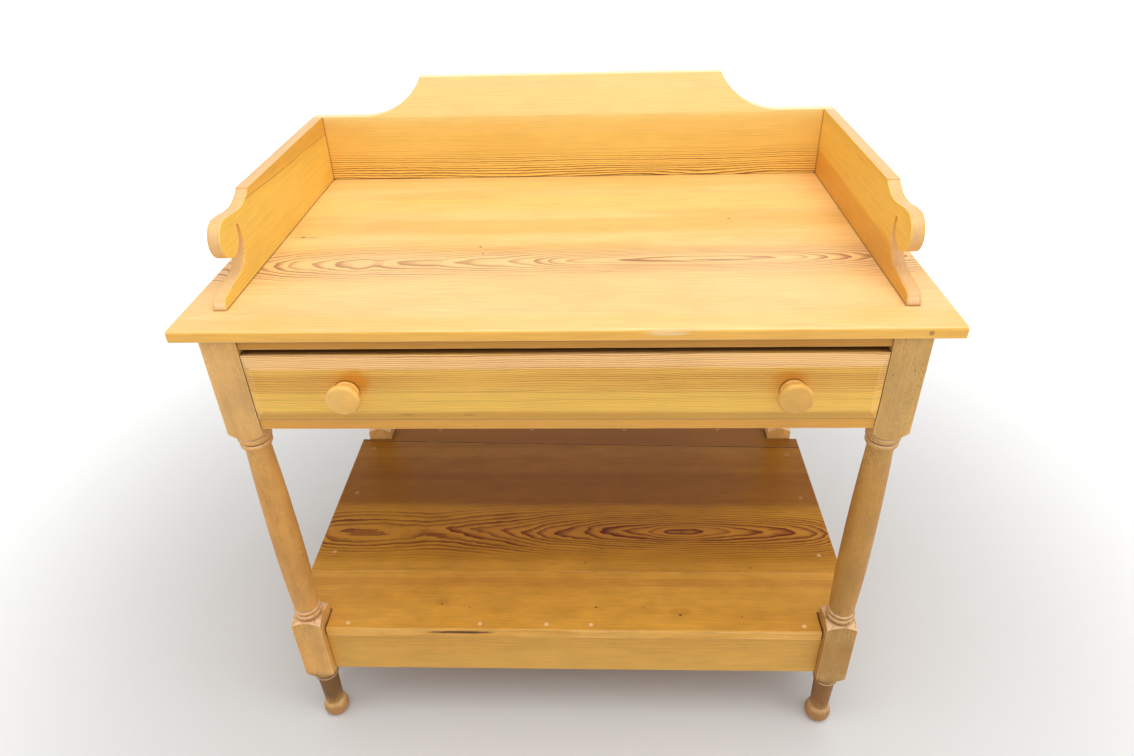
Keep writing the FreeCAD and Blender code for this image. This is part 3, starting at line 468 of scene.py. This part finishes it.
FINISH["gallery_side_left"] = pine(
    "pine_gallery_left", "yzx", (0, TOP, LEFT_FACE), depth=120, lean=-0.05, seed=7.3,
    light=(244, 203, 94), tone=(236, 188, 74), strong=0.3,
    edge=(SPLASH_THICK, (232, 184, 128), 0.85),
    stripes=((119, 27, (224, 164, 70), 0.65), (91, 0.8, (150, 90, 40), 0.45),
             (60, 20, (247, 208, 102), 0.5)),
    **SIDES)
FINISH["gallery_side_right"] = pine(
    "pine_gallery_right", "yzX", (0, TOP, RIGHT_FACE), depth=100, seed=8.9,
    light=(242, 197, 90), tone=(234, 179, 70), strong=0.35,
    edge=(SPLASH_THICK, (228, 180, 122), 0.85),
    stripes=((14, 26, (222, 157, 56), 0.8), (70, 26, (245, 200, 92), 0.5)), **SIDES)

# The drawer and its rails
FINISH["drawer_front"] = pine(
    "pine_drawer", "xzY", (0, DRAWER_MIDDLE, FIELD), pith=78, depth=34, ring=2.3, start=0.5, band=130,
    seed=2.3,
    light=(242, 190, 86), tone=(232, 170, 66), dark=(150, 84, 30), strong=0.8, faint=0.12, wear=0.6,
    # top_reach darkens the top edge in the gap under the rail with painted shade
    gloss=0.4, reach=2.2, top_reach=13,
    # the darker stripe at -42 is painted shade on the lower bevel, which faces down
    stripes=((-17, 14, (247, 198, 88), 0.75), (-42, 8, (212, 156, 62), 0.7),
             (39, 8, (247, 198, 138), 0.8), (-2.4, 0.5, (180, 116, 46), 0.5), (14, 9, (224, 160, 62), 0.4)),
    patches=((-244, 15, 20, 16, (216, 138, 30), 0.65), (266, 17, 22, 10, (206, 130, 40), 0.5),
             (-190, -37, 11, 1.6, (150, 96, 44), 0.5), (-113, -38, 9, 1.4, (150, 96, 44), 0.5)))
for side, x, light, tone in (("left", -256, (245, 194, 104), (230, 168, 70)),
                             ("right", 271, (228, 176, 86), (212, 154, 60))):
    FINISH[f"drawer_knob_{side}"] = pine(
        f"pine_knob_{side}", "yxz", (0, x, DRAWER_MIDDLE), depth=60, seed=3.1,
        light=light, tone=tone, dark=(190, 120, 54), strong=0.12, faint=0.1, fibre=0.03, cloud=0.14,
        # the knobs' pale rims are partly a painted highlight
        wear=0.6, rough=0.36, dirt=0.35, reach=2)
FINISH["drawer_rail_upper"] = pine(
    "pine_rail_upper", "xzY", (0, 729, RAIL), pith=-60, depth=30, seed=4.4,
    # its reach of 8 mm darkens the rail's lower edge over the drawer's gap with painted shade
    light=(206, 148, 60), tone=(190, 130, 46), dark=(140, 80, 30), faint=0.3, gloss=0.3, dirt=1.0, reach=8)
FINISH["drawer_rail_lower"] = pine(
    "pine_rail_lower", "xzY", (0, 613, RAIL), pith=-50, depth=26, seed=5.2,
    light=(228, 166, 70), tone=(218, 149, 52), dark=(180, 106, 38), faint=0.3, rough=0.36, gloss=0.4,
    dirt=1.0)

# The shelf
FINISH["shelf_board_middle"] = pine(
    "pine_shelf_middle", "xyz", (0, FRONT, SHELF), pith=221,
    depth=((-450, 60), (-415, 55), (-356, 52.6), (-295, 55), (-255, 57), (-216, 55), (-170, 50.7),
           (-123, 46.5), (-88, 42), (-62, 38), (-32, 34), (17, 29.7), (41, 25.5), (88, 21), (126, 17),
           (150, 13), (186, 10), (222, 13), (280, 17), (333, 21), (386, 25.5), (410, 29.7), (431, 34),
           (450, 38)),
    ring=4.2, start=0.42, band=66, bow=3, wander=0.85, seed=9.2,
    light=(197, 138, 38), tone=(176, 116, 24), dark=(112, 36, 0), strong=0.88, faint=0.24, fibre=0.12,
    cloud=0.15, gloss=0.2,
    edge=(BOARD, (196, 134, 52), 0.5), knots=((20, 150, 1.6), (290, 140, 1.5)),
    # the dark stripes at 330 and 420 are painted shade, darker towards the back of the shelf
    stripes=((420, 60, (142, 86, 10), 0.75), (330, 44, (138, 82, 6), 0.8), (436, 14, (166, 112, 34), 0.6),
             (122, 30, (220, 160, 62), 0.6), (221, 15, (200, 134, 46), 0.6)))
FINISH["shelf_board_front"] = pine(
    "pine_shelf_front", "xyz", (0, FRONT, SHELF), pith=-90, depth=30, seed=10.4,
    light=(222, 162, 62), tone=(210, 146, 46), dark=(150, 82, 28), faint=0.2, fibre=0.12, cloud=0.15,
    rough=0.38, gloss=0.3, dirt=1.0,
    edge=(BOARD, (228, 168, 76), 0.6),
    knots=((-205, 62, 1.8), (-160, 56, 1.2), (38, 58, 2.0), (112, 58, 1.3), (168, 44, 2.4), (262, 42, 1.5)),
    # the pale stripe at 14.6 is a painted highlight along the shelf's rounded front arris
    stripes=((108, 8, (204, 138, 50), 0.6), (14.6, 1.7, (244, 194, 108), 0.6)),
    patches=((168, 50, 20, 8, (180, 112, 40), 0.4), (-205, 66, 12, 7, (184, 116, 42), 0.4),
             (-168, 14, 56, 4, (74, 36, 14), 0.95, -5, 3.6)))
# the back board's dark colours are painted shade, where the top shades the back of the shelf
FINISH["shelf_board_back"] = pine(
    "pine_shelf_back_shaded", "xyz", (0, FRONT + 490, SHELF), pith=120, depth=30, seed=11.6,
    light=(150, 96, 34), tone=(134, 82, 26), dark=(98, 50, 14), gloss=0.15, dirt=1.0)
FINISH["shelf_rail_front"] = pine(
    "pine_shelf_rail_front", "xzY", (0, 159, SHELF_RAIL), pith=70, depth=28, seed=12.3,
    light=(220, 166, 70), tone=(208, 148, 53), dark=(156, 92, 34), strong=0.3, faint=0.2, fibre=0.11,
    cloud=0.09, gloss=0.4, dirt=1.0,
    # the dark line at 44.2 is the seam under the shelf's nose, with painted shadow from its overhang
    stripes=((44.2, 0.8, (120, 70, 28), 0.75),))

# The back apron, whose face towards the front is darkened by a patch of painted shade
FINISH["apron_back"] = pine(
    "pine_apron_back", "xzy", (0, APRON_LOW[2], APRON_HIGH[1]), pith=-30, depth=40, seed=14.7,
    light=(202, 148, 76), tone=(184, 128, 58), dark=(142, 86, 36), gloss=0.15,
    patches=((0, 60, ENDLESS, ENDLESS, (136, 80, 28), 0.95, APRON_LOW[1] - APRON_HIGH[1], 3),))

# The legs, whose patches colour their turned members at heights above LEG_ZERO
LEG_ZERO = 300
LEGS = dict(light=(236, 186, 112), tone=(214, 160, 86), dark=(140, 90, 42), strong=0.14, faint=0.1, band=40,
            speck=0.5, mottle=1.0, fibre=0.04, rough=0.5, ring=2.6, wear=0.5, bare=0.75, cloud=0.2, gloss=0.3,
            dirt=0.6, reach=2.5,
            patches=((-225, 0, 50, 80, (84, 44, 6), 0.84), (-287, 0, 14, 80, (162, 110, 68), 0.7),
                     (105, 0, 190, 80, (198, 136, 60), 0.65), (-130, 0, 44, 80, (218, 158, 80), 0.5),
                     (372, 0, 72, 80, (236, 188, 122), 0.5)))
DULL_LEG = dict(LEGS, light=(211, 166, 98), tone=(182, 138, 74), speck=0.75,
                patches=((-225, 0, 50, 80, (116, 62, 16), 0.75), (-287, 0, 14, 80, (164, 108, 66), 0.75),
                         (105, 0, 190, 80, (172, 116, 36), 0.65), (-130, 0, 44, 80, (170, 120, 56), 0.6)))
# the back legs' faces towards the front get a darker patch of painted shade
BACK_LEG = dict(LEGS, patches=(*LEGS["patches"], (305, 0, 26, 80, (146, 88, 38), 0.85, -22, 9)))

# The rest
BARE_WOOD = dict(light=(226, 184, 124), tone=(214, 166, 104), dark=(164, 108, 60), rough=0.6)
WAXED_WOOD = dict(light=(232, 178, 100), tone=(220, 160, 80), dark=(166, 104, 48))
INSIDE = ("drawer_side", "drawer_back", "drawer_bottom", "drawer_runner", "drawer_kicker", "drawer_guide",
          "drawer_stops", "glue_blocks")
FASTENERS = ("_nails", "_screws")


def other_finish(name, number):
    """Finish of a piece without one of its own; number makes its wood differ from the others'."""
    low, high = mm(name)
    if name.startswith("leg_"):
        look = BACK_LEG if "back" in name else DULL_LEG if "right" in name else LEGS
        return pine(f"pine_{name}", "zxy", (LEG_ZERO, (low[0] + high[0]) / 2, (low[1] + high[1]) / 2),
                    depth=24 + 7 * number % 19, pith=9 - 5 * number % 17, seed=13.0 + number, **look)
    if name == "shelf_nails":
        return putty()
    if name.endswith(FASTENERS):
        return steel(f"steel_{name}")
    size = [b - a for a, b in zip(low, high)]
    order = sorted(range(3), key=lambda i: -size[i])
    return pine(f"pine_{name}", "".join("xyz"[i] for i in order), [high[i] for i in order],
                depth=22 + 11 * number % 40, pith=-size[order[1]] * (0.2 + 7 * number % 9 / 10),
                seed=20.0 + number, **(BARE_WOOD if name.startswith(INSIDE) else WAXED_WOOD))


for number, name in enumerate([name for name in NODES if name not in FINISH], 1):
    FINISH[name] = other_finish(name, number)

# ---------------------------------------------------------------- worn edges
SHARP = math.radians(28)          # edges that turn more are shaded as corners
BEVELLED = math.radians(40)       # edges that turn more are worn round
WORN_EDGE, WORN_GALLERY = 0.9 * MM, 1.6 * MM
TURNED = ("leg_", "drawer_knob")


def smooth_shading(mesh, sharp):
    for face in mesh.polygons:
        face.use_smooth = True
    mesh.set_sharp_from_angle(angle=sharp)


for name, node in NODES.items():
    node.data.materials.clear()
    node.data.materials.append(FINISH[name])
    smooth_shading(node.data, SHARP)
    if not name.startswith(TURNED) and not name.endswith(FASTENERS):
        bevel = node.modifiers.new("worn edges", "BEVEL")
        bevel.width = WORN_GALLERY if name.startswith("gallery_side") else WORN_EDGE
        bevel.segments = 2
        bevel.limit_method = "ANGLE"
        bevel.angle_limit = BEVELLED
        bevel.harden_normals = True

# ---------------------------------------------------------------- knobs
# (radius, height above the drawer's field) of the outline: bead, neck, disc and face
KNOB = ((13.6, 0.0), (14.8, 0.9), (15.4, 2.6), (14.8, 4.4), (12.4, 6.0), (10.9, 8.0), (11.4, 10.2),
        (14.4, 12.7), (18.4, 14.8), (20.2, 16.6), (20.5, 18.3), (20.1, 20.2), (19.0, 21.7), (17.3, 22.7),
        (15.6, 23.0), (11.0, 23.5), (5.5, 24.2), (0.0, 24.5))
KNOB_REACH = KNOB[-1][1]
KNOB_SHARP = math.radians(50)
SPIGOT = 6.0                      # radius
SECTORS = 72


def through(points, steps=4):
    """Smooth line through the points (a Catmull-Rom spline)."""
    points = [points[0], *points, points[-1]]
    line = []
    for p, q, r, s in zip(points, points[1:], points[2:], points[3:]):
        for step in range(steps):
            f = step / steps
            line.append([((2 * b) + (c - a) * f + (2 * a - 5 * b + 4 * c - d) * f * f
                          + (3 * b - a - 3 * c + d) * f ** 3) / 2 for a, b, c, d in zip(p, q, r, s)])
    return [*line, points[-1]]


def add_knob(node):
    """A turned knob with its spigot, in the place of the plain one."""
    low, high = mm(node)
    x, z = (low[0] + high[0]) / 2, (low[2] + high[2]) / 2
    field = low[1] + KNOB_REACH
    spigot_end = field - high[1]
    shape = bmesh.new()
    rows = []
    for radius, height in [(0.0, spigot_end), (SPIGOT, spigot_end), (SPIGOT, 0.0), *through(KNOB)]:
        turns = [math.tau * i / SECTORS for i in range(SECTORS if radius else 1)]
        rows.append([shape.verts.new(((x + radius * math.sin(turn)) * MM, (field - height) * MM,
                                      (z + radius * math.cos(turn)) * MM)) for turn in turns])
    for a, b in zip(rows, rows[1:]):
        for i in range(SECTORS):
            corners = [a[i % len(a)], a[(i + 1) % len(a)], b[(i + 1) % len(b)], b[i % len(b)]]
            shape.faces.new(list(dict.fromkeys(corners)))
    bmesh.ops.recalc_face_normals(shape, faces=shape.faces)
    mesh = bpy.data.meshes.new(f"turned_{node}")
    shape.to_mesh(mesh)
    shape.free()
    mesh.materials.append(FINISH[node])
    smooth_shading(mesh, KNOB_SHARP)
    knob = bpy.data.objects.new(f"turned_{node}", mesh)
    bpy.context.scene.collection.objects.link(knob)
    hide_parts(node)
    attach(knob, "drawer")


add_knob("drawer_knob_left")
add_knob("drawer_knob_right")

# ---------------------------------------------------------------- light, floor and background
WHITE = (1, 1, 1, 1)
WORLD_LIGHT = 0.39                # what the white background sends to the object
FLOOR_FADE = (0.6, 2.2)           # metres from the middle, where the floor turns into the background
FLOOR_GLOW = 0.8                  # what brings the lit floor to white


def seen_ray(tree):
    """1 for the rays that show the background itself or its image in something shiny."""
    path = tree.nodes.new("ShaderNodeLightPath")
    seen = path.outputs["Is Camera Ray"]
    for other in ("Is Glossy Ray", "Is Transmission Ray"):
        either = tree.nodes.new("ShaderNodeMath")
        either.operation = "MAXIMUM"
        tree.links.new(seen, either.inputs[0])
        tree.links.new(path.outputs[other], either.inputs[1])
        seen = either.outputs[0]
    return seen


def add_world():
    world = bpy.data.worlds.new("world")
    world.use_nodes = True
    tree = world.node_tree
    background = tree.nodes["Background"]
    background.inputs["Color"].default_value = WHITE
    strength = tree.nodes.new("ShaderNodeMix")
    factor, unseen, seen, result = MIX_NUMBERS
    tree.links.new(seen_ray(tree), strength.inputs[factor])
    strength.inputs[unseen].default_value = WORLD_LIGHT
    strength.inputs[seen].default_value = 1.0
    tree.links.new(strength.outputs[result], background.inputs["Strength"])
    bpy.context.scene.world = world


def add_floor():
    bpy.ops.mesh.primitive_plane_add(size=60, location=(0, 0, 0))
    floor = bpy.context.object
    floor.name = "floor"
    t = Tree("floor")
    place = t.node("ShaderNodeTexCoord", output="Object")
    away = t.node("ShaderNodeVectorMath", (place,), output="Value", operation="LENGTH")
    glow = t.mul(t.smooth(away, *FLOOR_FADE), FLOOR_GLOW)
    t.shader.inputs["Base Color"].default_value = srgb(222, 222, 221)
    t.shader.inputs["Roughness"].default_value = 0.75
    t.shader.inputs["Emission Color"].default_value = WHITE
    t.put(t.shader.inputs["Emission Strength"], t.mul(seen_ray(t.material.node_tree), glow))
    floor.data.materials.append(t.material)


def area(name, at, toward, size, power):
    """A rectangular light at one place, turned to another, in metres and watts."""
    data = bpy.data.lights.new(name, "AREA")
    data.shape = "RECTANGLE"
    data.size, data.size_y = size
    data.energy = power
    light = bpy.data.objects.new(name, data)
    turn = (Vector(toward) - Vector(at)).to_track_quat("-Z", "Y").to_matrix().to_4x4()
    light.matrix_world = Matrix.Translation(at) @ turn
    bpy.context.scene.collection.objects.link(light)


add_camera()
add_world()
bpy.context.scene.view_settings.view_transform = "Standard"
area("ceiling", (0.3, -0.6, 3.2), (0, 0, 0.4), (3.0, 3.0), 74)
area("front", (0.2, -3.3, 1.4), (0, 0, 0.5), (3.0, 2.0), 11)
area("back", (0.3, 3.3, 1.4), (0, 0, 0.5), (3.0, 2.0), 9)
area("left", (-2.3, -0.9, 1.0), (0, -0.1, 0.5), (1.6, 1.6), 11)
area("right", (2.3, -0.9, 1.0), (0, -0.1, 0.5), (1.6, 1.6), 11)
add_floor()
